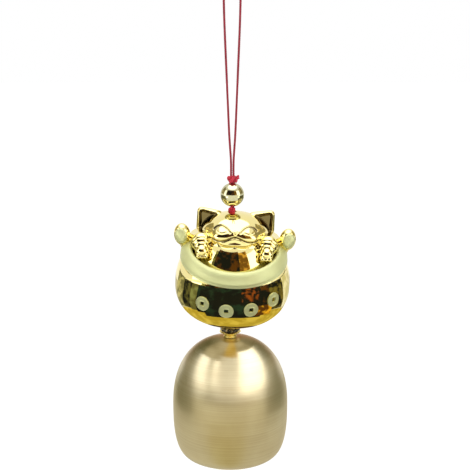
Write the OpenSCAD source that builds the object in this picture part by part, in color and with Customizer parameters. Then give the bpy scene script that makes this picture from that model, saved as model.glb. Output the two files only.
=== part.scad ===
// A small hanging chime: a plated cat lounging in a round bowl, threaded over a spun copper bell.
// Every length is in millimetres. The origin is where the loop rests on its hook, and +Z points up.
// The front of the figure faces -Y.

/* [Cord] */
// Thickness of the red cord
cord_d = 0.8; // [0.6:0.05:1.0]
// Depth of the top knot below the hook
knot_drop = 60.2; // [60:0.2:66]
// Width of the top knot
knot_d = 3.7; // [3.2:0.1:4.4]
// Height of the top knot
knot_h = 2.5; // [2.2:0.1:3.2]
// Length of the cut tails of the top knot
tail_l = 1.4; // [1:0.1:3]
// Width of the knot seated in the head
head_knot_d = 2.7; // [2.4:0.05:3.0]
// Height of the knot seated in the head
head_knot_h = 2.5; // [2.0:0.1:3.0]

/* [Bead] */
// Diameter of the ball bead
bead_d = 8; // [7:0.2:10]
// Bore of the ball bead
bead_bore_d = 2.2; // [2.1:0.1:3]

/* [Cat] */
// How much narrower than the bowl's mouth the torso is at each side, before the mouth's share
torso_room = 0.35; // [0:0.05:0.8]
// Height from the torso's widest place to its top
torso_rise = 18.5; // [17:0.1:20]
// How much narrower the head is than the torso, at each side
head_room = 3.8; // [2.8:0.1:4.2]
// Half the height of the head
head_rise = 6.7; // [6.2:0.1:7.4]
// Radius of the rounded upper arm
arm_r = 3.5; // [3:0.1:3.7]
// Radius of the paw
paw_r = 2.1; // [1.8:0.1:2.4]
// Radius of a finger
finger_r = 0.85; // [0.7:0.05:1.0]
// Radius of the foot
foot_r = 2.75; // [2.4:0.05:3.0]
// Half the extra length of the foot
foot_stretch = 0.95; // [0.6:0.05:1.2]
// Thickness of the sole pad above the foot
pad_t = 0.3; // [0.2:0.05:0.5]
// Radius of the ear's rounded tip
ear_tip_r = 1.6; // [1.2:0.1:1.8]

/* [Bowl] */
// Widest radius of the bowl
bowl_r = 19.35; // [19:0.05:21]
// Depth of the bowl below its widest place
bowl_depth = 14.4; // [13.5:0.1:16]
// Height of the straight band at the bowl's widest place
bowl_band = 1.2; // [0.8:0.1:2]
// Sideways roll of the figure as it hangs
figure_roll = 3; // [0:0.5:4]
// Forward tilt of the bowl's mouth
collar_tilt = 21.9; // [16:0.1:26]
// How much higher the mouth's plane stands than its share of the bowl's radius gives, before that share
mouth_lift = 0.65; // [-0.4:0.05:1.6]
// Width of the rolled collar along the bowl
collar_w = 5; // [4:0.1:5.4]
// Thickness of the rolled collar
collar_t = 2.8; // [2.2:0.1:3.4]
// Diameter of a coin ornament
coin_d = 4.8; // [4:0.1:5.2]
// Side of the square hole in a coin ornament
coin_hole = 1.4; // [1:0.1:1.8]
// Height of a coin ornament above the bowl
coin_t = 0.45; // [0.3:0.05:0.6]

/* [Neck] */
// Diameter of the dark neck bead
neck_bead_d = 6.8; // [6.2:0.1:7]
// Height of the dark neck bead
neck_bead_h = 2.8; // [2.6:0.1:3.4]
// Radius of the neck cup's rim
cup_rim_r = 3.66; // [3.4:0.02:4]
// Radius of the neck cup's foot
cup_foot_r = 2.27; // [2:0.01:2.5]
// Height of the neck cup
cup_h = 2.1; // [1.9:0.05:2.4]

/* [Bell] */
// Widest radius of the bell
bell_r = 19.9; // [18:0.1:23]
// Height of the bell above its widest place
bell_rise = 24.4; // [21:0.1:27]
// Height of the bell below its widest place
bell_drop = 17.6; // [15:0.1:21]
// Outer radius of the bell's mouth
mouth_r = 14.1; // [12:0.1:16]
// Thickness of the bell's wall
bell_wall = 1.0; // [0.8:0.05:1.4]
// Hole in the bell's crown
crown_hole_d = 2.2; // [2.1:0.05:2.6]

/* [Clapper] */
// Diameter of the clapper
clapper_d = 8; // [6:0.2:9]
// Length of the clapper's cord below the crown knot
clapper_reach = 26; // [22:0.5:27]
// Diameter of the washer under the crown
washer_d = 6; // [5:0.1:7]
// Thickness of the washer under the crown
washer_t = 0.8; // [0.6:0.05:1.2]

/* [Hidden] */

round_fn = 64;
hull_fn = 24;
small_fn = 16;
curve_steps = 14;
// How far a cutting shape runs past what it cuts
overrun = 1;
// Gap between a piece and its seat
seat_gap = 0.05;
// Gap around a piece that turns or swings on another
turn_gap = 0.1;
// Gap where a cord bends, which lets the piece below it nod or swing
nod_gap = 0.3;

// The loop's route beside the axis and below the hook, from the knot up to the bend, for a knot this deep
route_drop = 60;
loop_route = [
    [0.5, -60], [0.5, -58], [0.5, -56], [0.55, -54], [0.75, -51], [1, -47], [1.2, -42],
    [1.45, -36], [1.7, -30], [1.95, -24], [2.2, -18], [2.45, -12], [2.6, -7]
];
// Radius of the bend that rests on the hook
bend_r = 2.7;
bend_steps = 12;
loop_sides = 8;

// Places along the axis, from the hook down
bend_z = cord_d / 2 - bend_r;
knot_top = -knot_drop;
knot_z = knot_top - knot_h;
bead_seat = bead_d / 2 - sqrt(pow(bead_d / 2, 2) - pow(bead_bore_d / 2, 2));
bead_top = knot_z - seat_gap + bead_seat;
bead_z = bead_top - bead_d / 2;
bead_low = bead_z - bead_d / 2;
head_knot_top = bead_low + bead_seat - nod_gap;
// How deep the head's pole lies below the top of its knot
head_knot_proud = 1.4;
head_top = head_knot_top - head_knot_proud;

// The mouth's plane, from the middle of the bowl's round upper part
rise_share = 0.58;
mouth_rise = (bowl_r + mouth_lift) * rise_share;
// The torso's widest place and the head's middle, above the bowl's centre, and how deep the cat sits
mouth_share = 0.8;
torso_r = (bowl_r - torso_room) * mouth_share;
head_r = torso_r - head_room;
sit_depth = 9;
torso_z = mouth_rise - sit_depth;
head_tuck = 2.9;
head_z = torso_z + torso_rise - head_tuck;
bowl_z = head_top - head_rise - head_z;
bowl_low = bowl_z - bowl_depth;
bell_x = -bowl_depth * sin(figure_roll);
head_hole_x = -(head_z + head_rise) * sin(figure_roll);
bore_h = bowl_depth + head_z + head_rise;
bore_lean = atan2(-head_hole_x, bore_h);

// The cat's torso stops at a flat seat inside the bowl
seat_z = -8;
cord_bore_d = 2.2;
body_cord_d = 2 * cord_d;

neck_top = bowl_low - nod_gap;
neck_low = neck_top - neck_bead_h;
cup_floor = 1.4;
cup_z = neck_low - seat_gap - cup_floor;
crown_z = cup_z - seat_gap;
bell_mid = crown_z - bell_rise;
crown_share = 2.35;
lip_share = 2.65;
washer_drop = 0.25;
washer_z = crown_z - bell_wall - washer_drop - washer_t;
crown_knot_d = 3.4;
crown_knot_h = 2.4;
crown_knot_top = washer_z - seat_gap;
clapper_pivot = crown_knot_top - crown_knot_h;
clapper_z = clapper_pivot - clapper_reach;
clapper_low = clapper_z - clapper_d / 2;
clapper_knot_d = 2.2;
clapper_knot_h = 1.6;

module in_figure() {
    translate([0, 0, bowl_z]) rotate([0, figure_roll, 0]) children();
}

// An oval of 4 * oval_steps points, and the unit curve of a rounder or squarer quarter oval
oval_steps = 8;
function oval(half_w, half_h, steps = oval_steps) =
    [for (i = [0 : 4 * steps - 1]) let (a = 90 * i / steps) [half_w * cos(a), half_h * sin(a)]];
function super(a, share) = [pow(cos(a), 2 / share), pow(sin(a), 2 / share)];

// A tube swept along points, with its end faces square to the route
function unit3(v) = v / norm(v);
function heading(p, i) =
    unit3(p[min(i + 1, len(p) - 1)] - p[max(i - 1, 0)]);
function ring(c, along, r, sides) =
    let (side = [0, 1, 0], out = cross(along, side))
    [for (k = [0 : sides - 1]) let (a = 360 * (k + 0.5) / sides)
        c + r * (cos(a) * side + sin(a) * out)];

module tube(path, d, sides) {
    rings = len(path);
    points = [for (i = [0 : rings - 1]) each ring(path[i], heading(path, i), d / 2, sides)];
    walls = [for (i = [0 : rings - 2], k = [0 : sides - 1])
        let (a = i * sides + k, b = i * sides + (k + 1) % sides)
        each [[a, b, b + sides], [a, b + sides, a + sides]]];
    start = [for (k = [sides - 1 : -1 : 0]) k];
    end = [for (k = [0 : sides - 1]) (rings - 1) * sides + k];
    polyhedron(points, [for (f = concat([start], walls, [end])) [for (i = [len(f) - 1 : -1 : 0]) f[i]]]);
}

module hanging_loop() {
    up = [for (p = loop_route) [-p[0], 0, p[1] * knot_drop / route_drop]];
    bend = [for (i = [0 : bend_steps]) let (a = 180 - 180 * i / bend_steps)
        [bend_r * cos(a), 0, bend_z + bend_r * sin(a)]];
    down = [for (i = [len(loop_route) - 1 : -1 : 0]) [loop_route[i][0], 0, up[i][2]]];
    color("firebrick") tube(concat(up, bend, down), cord_d, loop_sides);
}

// A knot's two stacked turns of cord around the axis
module knot(d, h) {
    turn = h / 2;
    rotate_extrude($fn = round_fn) {
        square([d / 2 - turn / 2, h]);
        for (side = [1, 3])
            translate([d / 2 - turn / 2, side * turn / 2]) circle(d = turn, $fn = small_fn);
    }
}

// The top knot ends in a dome, on which the strands of the loop rest and tilt
knot_dome_r = 1;
// Where the knot's cut tails leave it, and how far they lean out
tail_turns = [-25, 15];
tail_lean = 58;
tail_rise_share = 0.5;

module top_knot() {
    color("crimson") translate([0, 0, knot_z]) {
        knot(knot_d, 2 * cord_d);
        translate([0, 0, knot_h - knot_dome_r]) sphere(r = knot_dome_r, $fn = round_fn);
        for (turn = tail_turns)
            rotate([0, 0, turn]) translate([knot_d / 2 - cord_d, 0, knot_h * tail_rise_share])
                rotate([0, tail_lean, 0]) cylinder(d = cord_d, h = tail_l, $fn = small_fn);
    }
}

module top_bead() {
    color("khaki") difference() {
        translate([0, 0, bead_z]) sphere(d = bead_d, $fn = round_fn);
        translate([0, 0, bead_z - bead_d]) cylinder(d = bead_bore_d, h = 2 * bead_d, $fn = round_fn);
    }
}

module bead_cord() {
    color("firebrick") translate([0, 0, bead_low + bead_seat])
        cylinder(d = body_cord_d, h = knot_z - bead_low - bead_seat, $fn = round_fn);
}

module head_knot() {
    color("crimson") translate([0, 0, head_knot_top - head_knot_h]) knot(head_knot_d, head_knot_h);
}

// The straight way of the cord through the figure, from the bowl's pole up, in the figure's own frame
module cord_way(d, h, far = 0) {
    translate([0, 0, -bowl_depth]) rotate([0, -bore_lean, 0])
        translate([0, 0, -far]) cylinder(d = d, h = h + 2 * far, $fn = round_fn);
}

module head_pocket() {
    translate([head_hole_x, 0, head_z + head_rise]) rotate([0, -figure_roll, 0])
        translate([0, 0, head_knot_proud - head_knot_h - turn_gap])
            cylinder(d = head_knot_d + 2 * turn_gap, h = head_knot_h + overrun, $fn = round_fn);
}

module cat_outline(grow) {
    intersection() {
        union() {
            translate([0, torso_z]) polygon(oval(torso_r + grow, torso_rise + grow, curve_steps));
            translate([0, head_z]) polygon(oval(head_r + grow, head_rise + grow, curve_steps));
        }
        translate([0, seat_z - grow]) square(2 * bowl_r);
    }
}

module cat_form(grow) {
    rotate_extrude($fn = round_fn) cat_outline(grow);
}

// The ear's tip, its two roots and its back, as shares of the head's radius and half height
function head_spot(share) = [head_r * share[0], head_r * share[1], head_z + head_rise * share[2]];
ear_tip_share = [0.965, 0, 0.85];
ear_inner_share = [0.518, 0.026, 0.746];
ear_outer_share = [0.991, 0.026, 0.09];
ear_back_share = [0.702, 0.263, 0.328];
ear_tip = head_spot(ear_tip_share);
ear_inner = head_spot(ear_inner_share);
ear_outer = head_spot(ear_outer_share);
ear_back = head_spot(ear_back_share);
ear_root_r = 1.1;
ear_back_r = 2.4;
// How far the scoop stands in front of the ear, its radius, and its share of the ear's size
scoop_front = [0, -1.9, 0];
scoop_r = 1.4;
scoop_share = 0.75;

module ear() {
    middle = (ear_tip + ear_inner + ear_outer) / 3;
    difference() {
        hull() {
            translate(ear_tip) sphere(r = ear_tip_r, $fn = hull_fn);
            translate(ear_inner) sphere(r = ear_root_r, $fn = hull_fn);
            translate(ear_outer) sphere(r = ear_root_r, $fn = hull_fn);
            translate(ear_back) sphere(r = ear_back_r, $fn = hull_fn);
        }
        hull() for (p = [ear_tip, ear_inner, ear_outer])
            translate(middle + (p - middle) * scoop_share + scoop_front) sphere(r = scoop_r, $fn = hull_fn);
    }
}

module both_ears() {
    for (side = [-1, 1]) mirror([side < 0 ? 1 : 0, 0, 0]) ear();
}

// A place on the head's front, at shares of its half width and half height
function on_face(share) =
    head_spot([share[0], -sqrt(1 - pow(share[0], 2) - pow(share[1], 2)), share[1]]);

// The face's lines, each an arc through three places on the head, and the nose
lid_shares = [[0.184, 0.313], [0.404, 0.5], [0.579, 0.358]];
lip_shares = [[-0.02, 0.015], [0.33, -0.22], [0.618, -0.17]];
nose_share = [0, 0.25];
groove_r = 0.35;
nose_r = 0.75;

module face_groove(shares) {
    a = on_face(shares[0]);
    b = on_face(shares[1]) - a;
    c = on_face(shares[2]) - a;
    axis = unit3(cross(b, c));
    way = cross(b * b * c - c * c * b, cross(b, c)) / (2 * norm(cross(b, c)) * norm(cross(b, c)));
    turn = atan2(axis[1], axis[0]);
    tip = acos(axis[2]);
    ex = [cos(tip) * cos(turn), cos(tip) * sin(turn), -sin(tip)];
    ey = [-sin(turn), cos(turn), 0];
    start = atan2(-way * ey, -way * ex);
    end = atan2((c - way) * ey, (c - way) * ex);
    translate(a + way) rotate([0, tip, turn]) rotate([0, 0, start])
        rotate_extrude(angle = (end - start + 360) % 360, $fn = 2 * round_fn)
            translate([norm(way), 0]) circle(r = groove_r, $fn = small_fn);
}

module face_grooves() {
    for (side = [0, 1], line = [lid_shares, lip_shares])
        mirror([side, 0, 0]) face_groove(line);
}

module nose() {
    translate(on_face(nose_share)) sphere(r = nose_r, $fn = round_fn);
}

module cat_body() {
    color("gold") in_figure() difference() {
        union() {
            cat_form(0);
            both_ears();
            nose();
        }
        face_grooves();
        cord_way(cord_bore_d, bore_h, overrun);
        head_pocket();
    }
}

// A limb's place: how far in from the torso's side, its share of the bowl's radius forward,
// and how far above the bowl's mouth
function limb_spot(inward, share, lift) =
    [torso_r - inward, bowl_r * share, bowl_band + mouth_rise + lift];
shoulder_in = 3.3965;
shoulder_share = -0.062;
shoulder_lift = 2.5056;
elbow_in = 4.2092;
elbow_share = -0.341;
wrist_in = 4.5962;
wrist_share = -0.527;
wrist_lift = 0.1972;
finger_in = 4.7897;
finger_share = -0.6;
finger_drop = 1.1948;
shoulder = limb_spot(shoulder_in, shoulder_share, shoulder_lift);
elbow = limb_spot(elbow_in, elbow_share, shoulder_lift);
wrist = limb_spot(wrist_in, wrist_share, wrist_lift);
finger_tip = limb_spot(finger_in, finger_share, -finger_drop);
finger_step = 1.15;
forearm_share = 0.8;

module upper_arm(grow) {
    hull() {
        translate(shoulder) sphere(r = arm_r + grow, $fn = hull_fn);
        translate(elbow) sphere(r = arm_r + grow, $fn = hull_fn);
    }
}

module arm() {
    upper_arm(0);
    hull() {
        translate(elbow) sphere(r = arm_r * forearm_share, $fn = hull_fn);
        translate(wrist) sphere(r = paw_r, $fn = hull_fn);
    }
    for (i = [-1 : 1])
        hull() {
            translate(wrist + [finger_step * i, 0, 0]) sphere(r = finger_r, $fn = small_fn);
            translate(finger_tip + [finger_step * i, 0, 0]) sphere(r = finger_r, $fn = small_fn);
        }
}

module seated_arm(side) {
    color("gold") in_figure() difference() {
        mirror([side < 0 ? 1 : 0, 0, 0]) arm();
        cat_form(seat_gap);
        both_ears();
        collar_form(seat_gap);
        below_rim(seat_gap);
    }
}

// The raised foot and its heel on the collar
foot_out = 2.2924;
foot_share = -0.176;
foot_lift = 4.0948;
foot_lean = 8;
heel_out = 1.30555;
heel_share = -0.114;
heel_lift = 1.798;
foot = limb_spot(-foot_out, foot_share, foot_lift);
heel = limb_spot(-heel_out, heel_share, heel_lift);
heel_r = 2.4;
// The sole pad's half width, its extra half length, and where it lies on the foot
pad_r = 1.95;
pad_stretch = 0.5;
pad_shift = [0.2, 0, 0];
pad_turn = 12;

module foot_form(grow) {
    translate(foot) rotate([0, foot_lean, 0])
        rotate_extrude($fn = round_fn) intersection() {
            polygon(oval(foot_r + grow, foot_r + foot_stretch + grow));
            translate([0, -2 * foot_r]) square(4 * foot_r);
        }
}

module leg() {
    foot_form(0);
    translate(heel) sphere(r = heel_r, $fn = round_fn);
}

module seated_leg(side) {
    color("gold") in_figure() difference() {
        mirror([side < 0 ? 1 : 0, 0, 0]) difference() {
            leg();
            upper_arm(seat_gap);
        }
        collar_form(seat_gap);
    }
}

module seated_pad(side) {
    color("palegoldenrod") in_figure() mirror([side < 0 ? 1 : 0, 0, 0]) difference() {
        intersection() {
            foot_form(pad_t);
            translate(foot + pad_shift) rotate([90, 0, pad_turn])
                linear_extrude(2 * foot_r) polygon(oval(pad_r, pad_r + pad_stretch));
        }
        foot_form(seat_gap / 2);
    }
}

// The mouth's plane stands square to an axis through the bowl's centre that leans forward
collar_r = sqrt(pow(bowl_r, 2) - pow(mouth_rise, 2));
collar_proud = 0.5;
rim_drop_share = 0.2;
rim_h = mouth_rise - collar_w * rim_drop_share;

// The frame of the mouth: its origin is the middle of the bowl's round upper part
module mouth_frame() {
    translate([0, 0, bowl_band]) rotate([collar_tilt, 0, 0]) children();
}

// All that lies below the bowl's rim
module below_rim(grow) {
    mouth_frame() translate([-2 * bowl_r, -2 * bowl_r, rim_h + grow - 4 * bowl_r]) cube(4 * bowl_r);
}

module collar_form(grow) {
    lean = atan2(mouth_rise, collar_r);
    mouth_frame() rotate_extrude($fn = round_fn) difference() {
        rotate(lean) translate([bowl_r + collar_proud, 0])
            polygon(oval(collar_t / 2 + grow, collar_w / 2 + grow));
        if (grow == 0) intersection() {
            circle(r = bowl_r + seat_gap, $fn = 4 * round_fn);
            translate([0, -bowl_r]) square([2 * bowl_r, bowl_r + rim_h + seat_gap]);
        }
    }
}

bowl_share = 2.26;
function bowl_side(h) = bowl_r * pow(1 - pow(abs(h) / bowl_depth, bowl_share), 1 / bowl_share);
// How much steeper than a cylinder the bowl's side runs at a height below its widest place
function bowl_slope(h) = atan(pow(abs(h), bowl_share - 1) / pow(bowl_depth, bowl_share)
    / (pow(bowl_side(h), bowl_share - 1) / pow(bowl_r, bowl_share)));

module bowl_form(grow) {
    steps = 2 * curve_steps;
    rotate_extrude($fn = 2 * round_fn) polygon(concat(
        [for (i = [0 : steps]) let (p = super(90 - 90 * i / steps, bowl_share))
            [(bowl_r + grow) * p[0], -(bowl_depth + grow) * p[1]]],
        [for (i = [0 : steps]) let (a = 90 * i / steps)
            [(bowl_r + grow) * cos(a), bowl_band + (bowl_r + grow) * sin(a)]]));
}

module treasure_bowl() {
    color("goldenrod") in_figure() difference() {
        intersection() {
            bowl_form(0);
            below_rim(0);
        }
        cat_form(seat_gap);
        cord_way(cord_bore_d, bore_h, overrun);
    }
}

module bowl_collar() {
    color("palegoldenrod") in_figure() difference() {
        collar_form(0);
        cat_form(seat_gap);
    }
}

// Four coins in a row on the bowl's front, along a plane that leans forward
coin_count = 4;
coin_row_z = 7.8;
coin_row_tilt = 32;
coin_step = 24.5;
coin_middle = 7;
coin_rim = 0.5;
coin_sink = 0.2;
coin_root = 1.2;

module coin_form() {
    difference() {
        translate([0, 0, -coin_root]) cylinder(d = coin_d, h = coin_root + coin_t, $fn = round_fn);
        translate([0, 0, coin_t - coin_sink]) linear_extrude(overrun) difference() {
            circle(d = coin_d - 2 * coin_rim, $fn = round_fn);
            square(coin_hole + 2 * coin_rim, center = true);
        }
        translate([0, 0, -2 * coin_root]) linear_extrude(4 * coin_root) square(coin_hole, center = true);
    }
}

module coin(i) {
    turn = coin_middle + coin_step * (i - (coin_count + 1) / 2);
    h = coin_row_z - tan(coin_row_tilt) * bowl_r * cos(turn);
    color("palegoldenrod") in_figure() difference() {
        rotate([0, 0, turn]) translate([0, -bowl_side(h), h]) rotate([90 + bowl_slope(h), 0, 0]) coin_form();
        bowl_form(seat_gap / 2);
    }
}

// The cord inside the figure ends below the knot in the head
module body_cord() {
    color("firebrick") in_figure()
        cord_way(body_cord_d, bore_h + head_knot_proud - head_knot_h - 2 * turn_gap);
}

module neck_bead() {
    color("black") translate([bell_x, 0, neck_low]) difference() {
        rotate_extrude($fn = round_fn) intersection() {
            translate([0, neck_bead_h / 2]) polygon(oval(neck_bead_d / 2, neck_bead_h / 2));
            square([neck_bead_d, neck_bead_h]);
        }
        translate([0, 0, -overrun]) cylinder(d = cord_bore_d, h = neck_bead_h + 2 * overrun, $fn = round_fn);
    }
}

module neck_cord() {
    color("firebrick") translate([bell_x, 0, crown_knot_top])
        cylinder(d = body_cord_d, h = neck_top - crown_knot_top, $fn = round_fn);
}

module neck_cup() {
    foot_h = 0.35;
    waist_in = 0.3;
    waist_h = 0.55;
    belly_out = 0.3;
    belly_share = 0.6;
    rim_t = 0.35;
    rim_round = 0.1;
    color("gold") translate([bell_x, 0, cup_z]) difference() {
        rotate_extrude($fn = round_fn) polygon([
            [0, 0], [cup_foot_r, 0], [cup_foot_r, foot_h], [cup_foot_r - waist_in, waist_h],
            [cup_foot_r + belly_out, cup_h * belly_share], [cup_rim_r - rim_t, cup_h - rim_t],
            [cup_rim_r, cup_h - rim_t / 2], [cup_rim_r - rim_round, cup_h],
            [cup_rim_r - rim_t, cup_h], [0, cup_h]
        ]);
        translate([0, 0, cup_floor + neck_bead_h / 2]) rotate_extrude($fn = round_fn) intersection() {
            polygon(oval(neck_bead_d / 2 + seat_gap, neck_bead_h / 2 + seat_gap));
            translate([0, -neck_bead_h]) square(2 * neck_bead_h);
        }
        translate([0, 0, -overrun]) cylinder(d = cord_bore_d, h = cup_h + 2 * overrun, $fn = round_fn);
    }
}

// One side of the bell from its crown to its lip, drawn in from the outer face by a wall's thickness
function bell_side(inset) = concat(
    [for (i = [0 : 2 * curve_steps - 1]) let (p = super(90 - 90 * i / (2 * curve_steps), crown_share))
        [(bell_r - inset) * p[0], (bell_rise - inset) * p[1]]],
    [for (i = [0 : 2 * curve_steps]) let (p = super(90 * i / (2 * curve_steps), lip_share))
        [mouth_r - inset + (bell_r - mouth_r) * p[0], -bell_drop * p[1]]]
);

module bell() {
    outer = bell_side(0);
    inner = bell_side(bell_wall);
    color("tan") translate([bell_x, 0, bell_mid]) difference() {
        rotate_extrude($fn = 2 * round_fn)
            polygon(concat(outer, [for (i = [len(inner) - 1 : -1 : 0]) inner[i]]));
        cylinder(d = crown_hole_d, h = bell_rise + overrun, $fn = round_fn);
    }
}

module crown_washer() {
    color("silver") translate([bell_x, 0, washer_z]) difference() {
        cylinder(d = washer_d, h = washer_t, $fn = round_fn);
        translate([0, 0, -overrun]) cylinder(d = cord_bore_d, h = washer_t + 2 * overrun, $fn = round_fn);
    }
}

module crown_knot() {
    color("crimson") translate([bell_x, 0, crown_knot_top - crown_knot_h])
        knot(crown_knot_d, crown_knot_h);
}

module clapper_cord() {
    color("firebrick") translate([bell_x, 0, clapper_low]) cylinder(d = cord_d,
        h = clapper_pivot - nod_gap - clapper_low, $fn = round_fn);
}

module clapper() {
    color("tan") translate([bell_x, 0, clapper_z]) difference() {
        sphere(d = clapper_d, $fn = round_fn);
        translate([0, 0, -clapper_d]) cylinder(d = cord_d + 2 * seat_gap, h = 2 * clapper_d, $fn = round_fn);
    }
}

module clapper_knot() {
    color("crimson") translate([bell_x, 0, clapper_low - clapper_knot_h])
        knot(clapper_knot_d, clapper_knot_h);
}

hanging_loop();
top_knot();
top_bead();
bead_cord();
head_knot();
cat_body();
seated_arm(-1);  // left_arm
seated_arm(1);  // right_arm
seated_leg(-1);  // left_leg
seated_leg(1);  // right_leg
seated_pad(-1);  // left_sole_pad
seated_pad(1);  // right_sole_pad
treasure_bowl();
bowl_collar();
coin(1);  // coin_1
coin(2);  // coin_2
coin(3);  // coin_3
coin(4);  // coin_4
body_cord();
neck_bead();
neck_cord();
neck_cup();
bell();
crown_washer();
crown_knot();
clapper_cord();
clapper();
clapper_knot();
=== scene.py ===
# %% [markdown]
# # A lucky-cat chime
# A small chime hangs on a red cord: a polished ball bead, a plated cat lounging in a round bowl,
# a little brass cup and a spun copper bell. The CAD frame says where each piece is, so this script
# only adds what the eye sees. All working sizes below are in millimetres, and a piece is turned
# into metres when its mesh is made.

import math

import bpy
import numpy as np
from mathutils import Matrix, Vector


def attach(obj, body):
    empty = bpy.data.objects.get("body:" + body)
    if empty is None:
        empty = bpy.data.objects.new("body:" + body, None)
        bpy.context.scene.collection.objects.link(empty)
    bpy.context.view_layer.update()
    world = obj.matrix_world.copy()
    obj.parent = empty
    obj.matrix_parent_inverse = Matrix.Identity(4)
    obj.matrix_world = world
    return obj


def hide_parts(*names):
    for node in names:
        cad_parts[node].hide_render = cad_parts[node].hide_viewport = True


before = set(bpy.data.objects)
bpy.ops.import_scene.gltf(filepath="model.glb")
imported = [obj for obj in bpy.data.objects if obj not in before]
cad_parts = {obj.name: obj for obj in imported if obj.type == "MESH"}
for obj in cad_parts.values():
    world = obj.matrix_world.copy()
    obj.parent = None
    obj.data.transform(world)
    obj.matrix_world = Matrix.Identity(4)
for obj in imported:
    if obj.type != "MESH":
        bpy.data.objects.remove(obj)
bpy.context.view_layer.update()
MM = 0.001

# %% [markdown]
# ## The camera
# The chime was photographed from about 30 cm away, a little above it, looking down 12.5 degrees.
# The horizontal middle of the cord lies slightly left of the picture's middle, so the camera
# stands 0.9 mm to the right instead of shifting its lens.

# %% Set up the camera
sensor_w, focal_px, picture_px = 36, 917, 470
camera_x, camera_y, camera_z, look_down = 0.9, -300, -13.8, 12.5
lens = bpy.data.cameras.new("product_camera")
lens.sensor_width = sensor_w
lens.lens = sensor_w * focal_px / picture_px
lens.clip_start, lens.clip_end = 0.01, 20
camera = bpy.data.objects.new("product_camera", lens)
camera.location = (camera_x * MM, camera_y * MM, camera_z * MM)
camera.rotation_euler = (math.radians(90 - look_down), 0, 0)
bpy.context.scene.collection.objects.link(camera)
bpy.context.scene.camera = camera
bpy.context.scene.view_settings.view_transform = "Standard"
print("lens", round(lens.lens, 1), "mm")

# %% [markdown]
# ## From points to a piece
# Every piece is a mesh made of points and faces that numpy works out. One helper makes the object,
# smooths its shading, hangs it on its CAD body and hides the plain CAD solid it stands for.

# %% A helper that makes a piece
def make_piece(name, points, faces, body, finish, stands_for=(), normals=None):
    mesh = bpy.data.meshes.new(name)
    mesh.from_pydata((np.asarray(points, float) * MM).tolist(), [], [list(map(int, f)) for f in faces])
    mesh.update()
    mesh.shade_smooth()
    if normals is not None:
        mesh.normals_split_custom_set_from_vertices([tuple(n) for n in normals])
    piece = bpy.data.objects.new(name, mesh)
    bpy.context.scene.collection.objects.link(piece)
    mesh.materials.append(bpy.data.materials[finish + "_finish"])
    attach(piece, body)
    if stands_for:
        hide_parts(*stands_for)
    print(f"{name}: {len(mesh.vertices)} points, {finish}")
    return piece


# %% A helper that joins several point-and-face lists into one
def together(parts):
    points, faces, start = [], [], 0
    for part_points, part_faces in parts:
        points.extend(np.asarray(part_points, float).tolist())
        faces.extend([[i + start for i in f] for f in part_faces])
        start += len(part_points)
    return points, faces


# %% [markdown]
# ## Finishes are built from nodes
# A finish is one Principled shader fed by a few patterns. Writing the pattern maths as Python
# expressions keeps it readable, so a small class wraps a socket and turns +, - and * into Math nodes.
# Coordinates are the object's own, in metres: every mesh has its place in its points, so a pattern
# of 1 mm has a scale near 1000.

# %% A socket that does maths
class Value:
    def __init__(self, finish, socket):
        self.finish, self.socket = finish, socket

    def math(self, operation, *others):
        return self.finish.node("ShaderNodeMath", {"operation": operation}, inputs=[self, *others])

    def __add__(self, other):
        return self.math("ADD", other)

    def __rsub__(self, other):
        return self.finish.node("ShaderNodeMath", {"operation": "SUBTRACT"}, inputs=[other, self])

    def __mul__(self, other):
        return self.math("MULTIPLY", other)

    __radd__, __rmul__ = __add__, __mul__


# %% A finish and its nodes
class Finish:
    def __init__(self, name):
        self.material = bpy.data.materials.new(name + "_finish")
        self.material.use_nodes = True
        self.nodes = self.material.node_tree.nodes
        self.links = self.material.node_tree.links
        self.nodes.clear()
        self.shader = self.nodes.new("ShaderNodeBsdfPrincipled")
        out = self.nodes.new("ShaderNodeOutputMaterial")
        self.links.new(self.shader.outputs[0], out.inputs[0])
        self.place = self.node("ShaderNodeTexCoord", output="Object")

    def node(self, kind, settings=None, inputs=(), output=0):
        node = self.nodes.new(kind)
        for key, value in (settings or {}).items():
            if key == "stops":
                ramp = node.color_ramp
                while len(ramp.elements) < len(value):
                    ramp.elements.new(0.5)
                for element, (position, colour) in zip(ramp.elements, value):
                    element.position = position
                    element.color = (*colour, 1)
            else:
                setattr(node, key, value)
        pairs = inputs.items() if isinstance(inputs, dict) else enumerate(inputs)
        for key, value in pairs:
            self.feed(node.inputs[key], value)
        return Value(self, node.outputs[output])

    def feed(self, socket, value):
        if isinstance(value, Value):
            self.links.new(value.socket, socket)
        elif isinstance(value, tuple) and len(value) == 3 and socket.type == "RGBA":
            socket.default_value = (*value, 1)
        else:
            socket.default_value = value

    def noise(self, size_mm, detail=2.0, stretch=None):
        place = self.place
        if stretch:
            place = self.node("ShaderNodeVectorMath", {"operation": "MULTIPLY"}, [place, stretch])
        sockets = {"Vector": place, "Scale": 1 / MM / size_mm, "Detail": detail}
        return self.node("ShaderNodeTexNoise", None, sockets)

    def mix(self, share, first, second):
        return self.node("ShaderNodeMix", {"data_type": "RGBA"}, {0: share, 6: first, 7: second}, output=2)

    def ramp(self, share, stops):
        return self.node("ShaderNodeValToRGB", {"stops": stops}, [share])

    def bump(self, height, depth_mm, strength=1.0):
        return self.node(
            "ShaderNodeBump", None, {"Height": height, "Strength": strength, "Distance": depth_mm * MM}
        )

    def finish(self, **sockets):
        for name, value in sockets.items():
            self.feed(self.shader.inputs[name.replace("_", " ")], value)
        print("finish:", self.material.name)
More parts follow.
